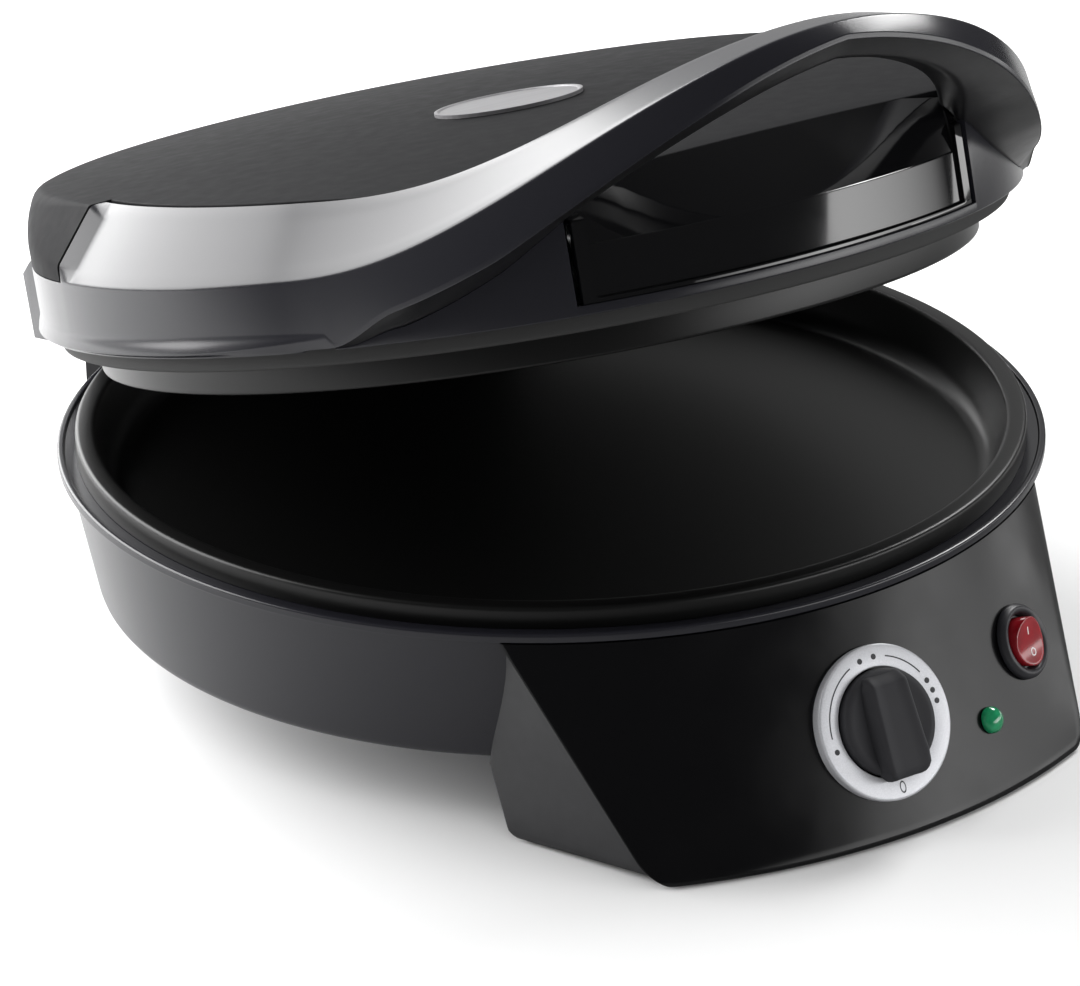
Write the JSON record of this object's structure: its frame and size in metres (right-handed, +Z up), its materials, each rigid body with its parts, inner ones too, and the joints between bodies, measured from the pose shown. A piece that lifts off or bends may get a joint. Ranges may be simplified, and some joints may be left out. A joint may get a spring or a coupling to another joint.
{
  "type": "electric pizza maker",
  "caption": "Round countertop pizza oven: a coated pan in a bowl base with raked control panel, and a hinged heated lid whose side band arches forward into the handle.",
  "frame": {"origin": "on the table, on the axis of the pan", "axes": "+Z up, -Y to the front where the control panel is, +X to the right as seen from the front"},
  "size_m": [0.34, 0.4125, 0.2626],
  "materials": {
    "gloss_black": "high gloss moulded",
    "matte_black": "fine satin grain",
    "grain_black": "fine moulded grain",
    "carrier_black": "satin heat-resistant moulding",
    "coated_plate": "dark non-stick coating",
    "steel": "plain sheet",
    "heater_steel": "heat-darkened tube",
    "ceramic": "cream insulating block",
    "fuse_grey": "plain",
    "silver_ring": "silver",
    "silver_badge": "satin brushed",
    "switch_black": "satin",
    "switch_red": "translucent red",
    "lamp_green": "translucent green",
    "holder_white": "plain",
    "knob_black": "satin with fine grain",
    "rubber_black": "matte"
  },
  "bodies": {
    "base": {"base_housing": "gloss_black", "front_pedestal": "matte_black", "control_panel": "gloss_black", "pedestal_cover": "matte_black", "bottom_cover": "steel", "rear_housing": "matte_black", "hinge_pins": "steel", "rubber_feet": "rubber_black", "lower_plate": "coated_plate", "lower_heater": "heater_steel", "lower_reflector": "steel", "thermostat": "steel", "thermal_fuse": "fuse_grey", "terminal_block": "ceramic", "dial_ring": "silver_ring", "switch_housing": "switch_black", "pilot_lens": "lamp_green", "pilot_holder": "holder_white", "cord_bush": "rubber_black", "base_screws": "steel"},
    "lid": {"lid_frame": "gloss_black", "handle_underside": "grain_black", "front_skirt": "gloss_black", "front_insert": "gloss_black", "lid_cover": "matte_black", "lid_badge": "silver_badge", "plate_carrier": "carrier_black", "upper_plate": "coated_plate", "upper_heater": "heater_steel", "upper_reflector": "steel", "heat_limiter": "ceramic", "hinge_hood": "gloss_black", "lid_screws": "steel"},
    "knob": {"knob": "knob_black", "knob_shaft": "steel"},
    "rocker": {"switch_rocker": "switch_red"}
  },
  "joints": [
    {"name": "lid_hinge", "type": "hinge", "parent": "base", "child": "lid", "pos_m": [0, 0.19, 0.0754], "axis": [-1, 0, 0], "range_deg": [-15.2, 80]},
    {"name": "knob_turn", "type": "hinge", "parent": "base", "child": "knob", "pos_m": [0.00052, -0.18785, 0.03479], "axis": [-0.0031, 0.8973, -0.4415], "range_deg": [0, 270]},
    {"name": "rocker_tilt", "type": "hinge", "parent": "base", "child": "rocker", "pos_m": [0.06905, -0.17248, 0.03813], "axis": [-0.9245, -0.3811, 0], "range_deg": [0, 16]}
  ]
}
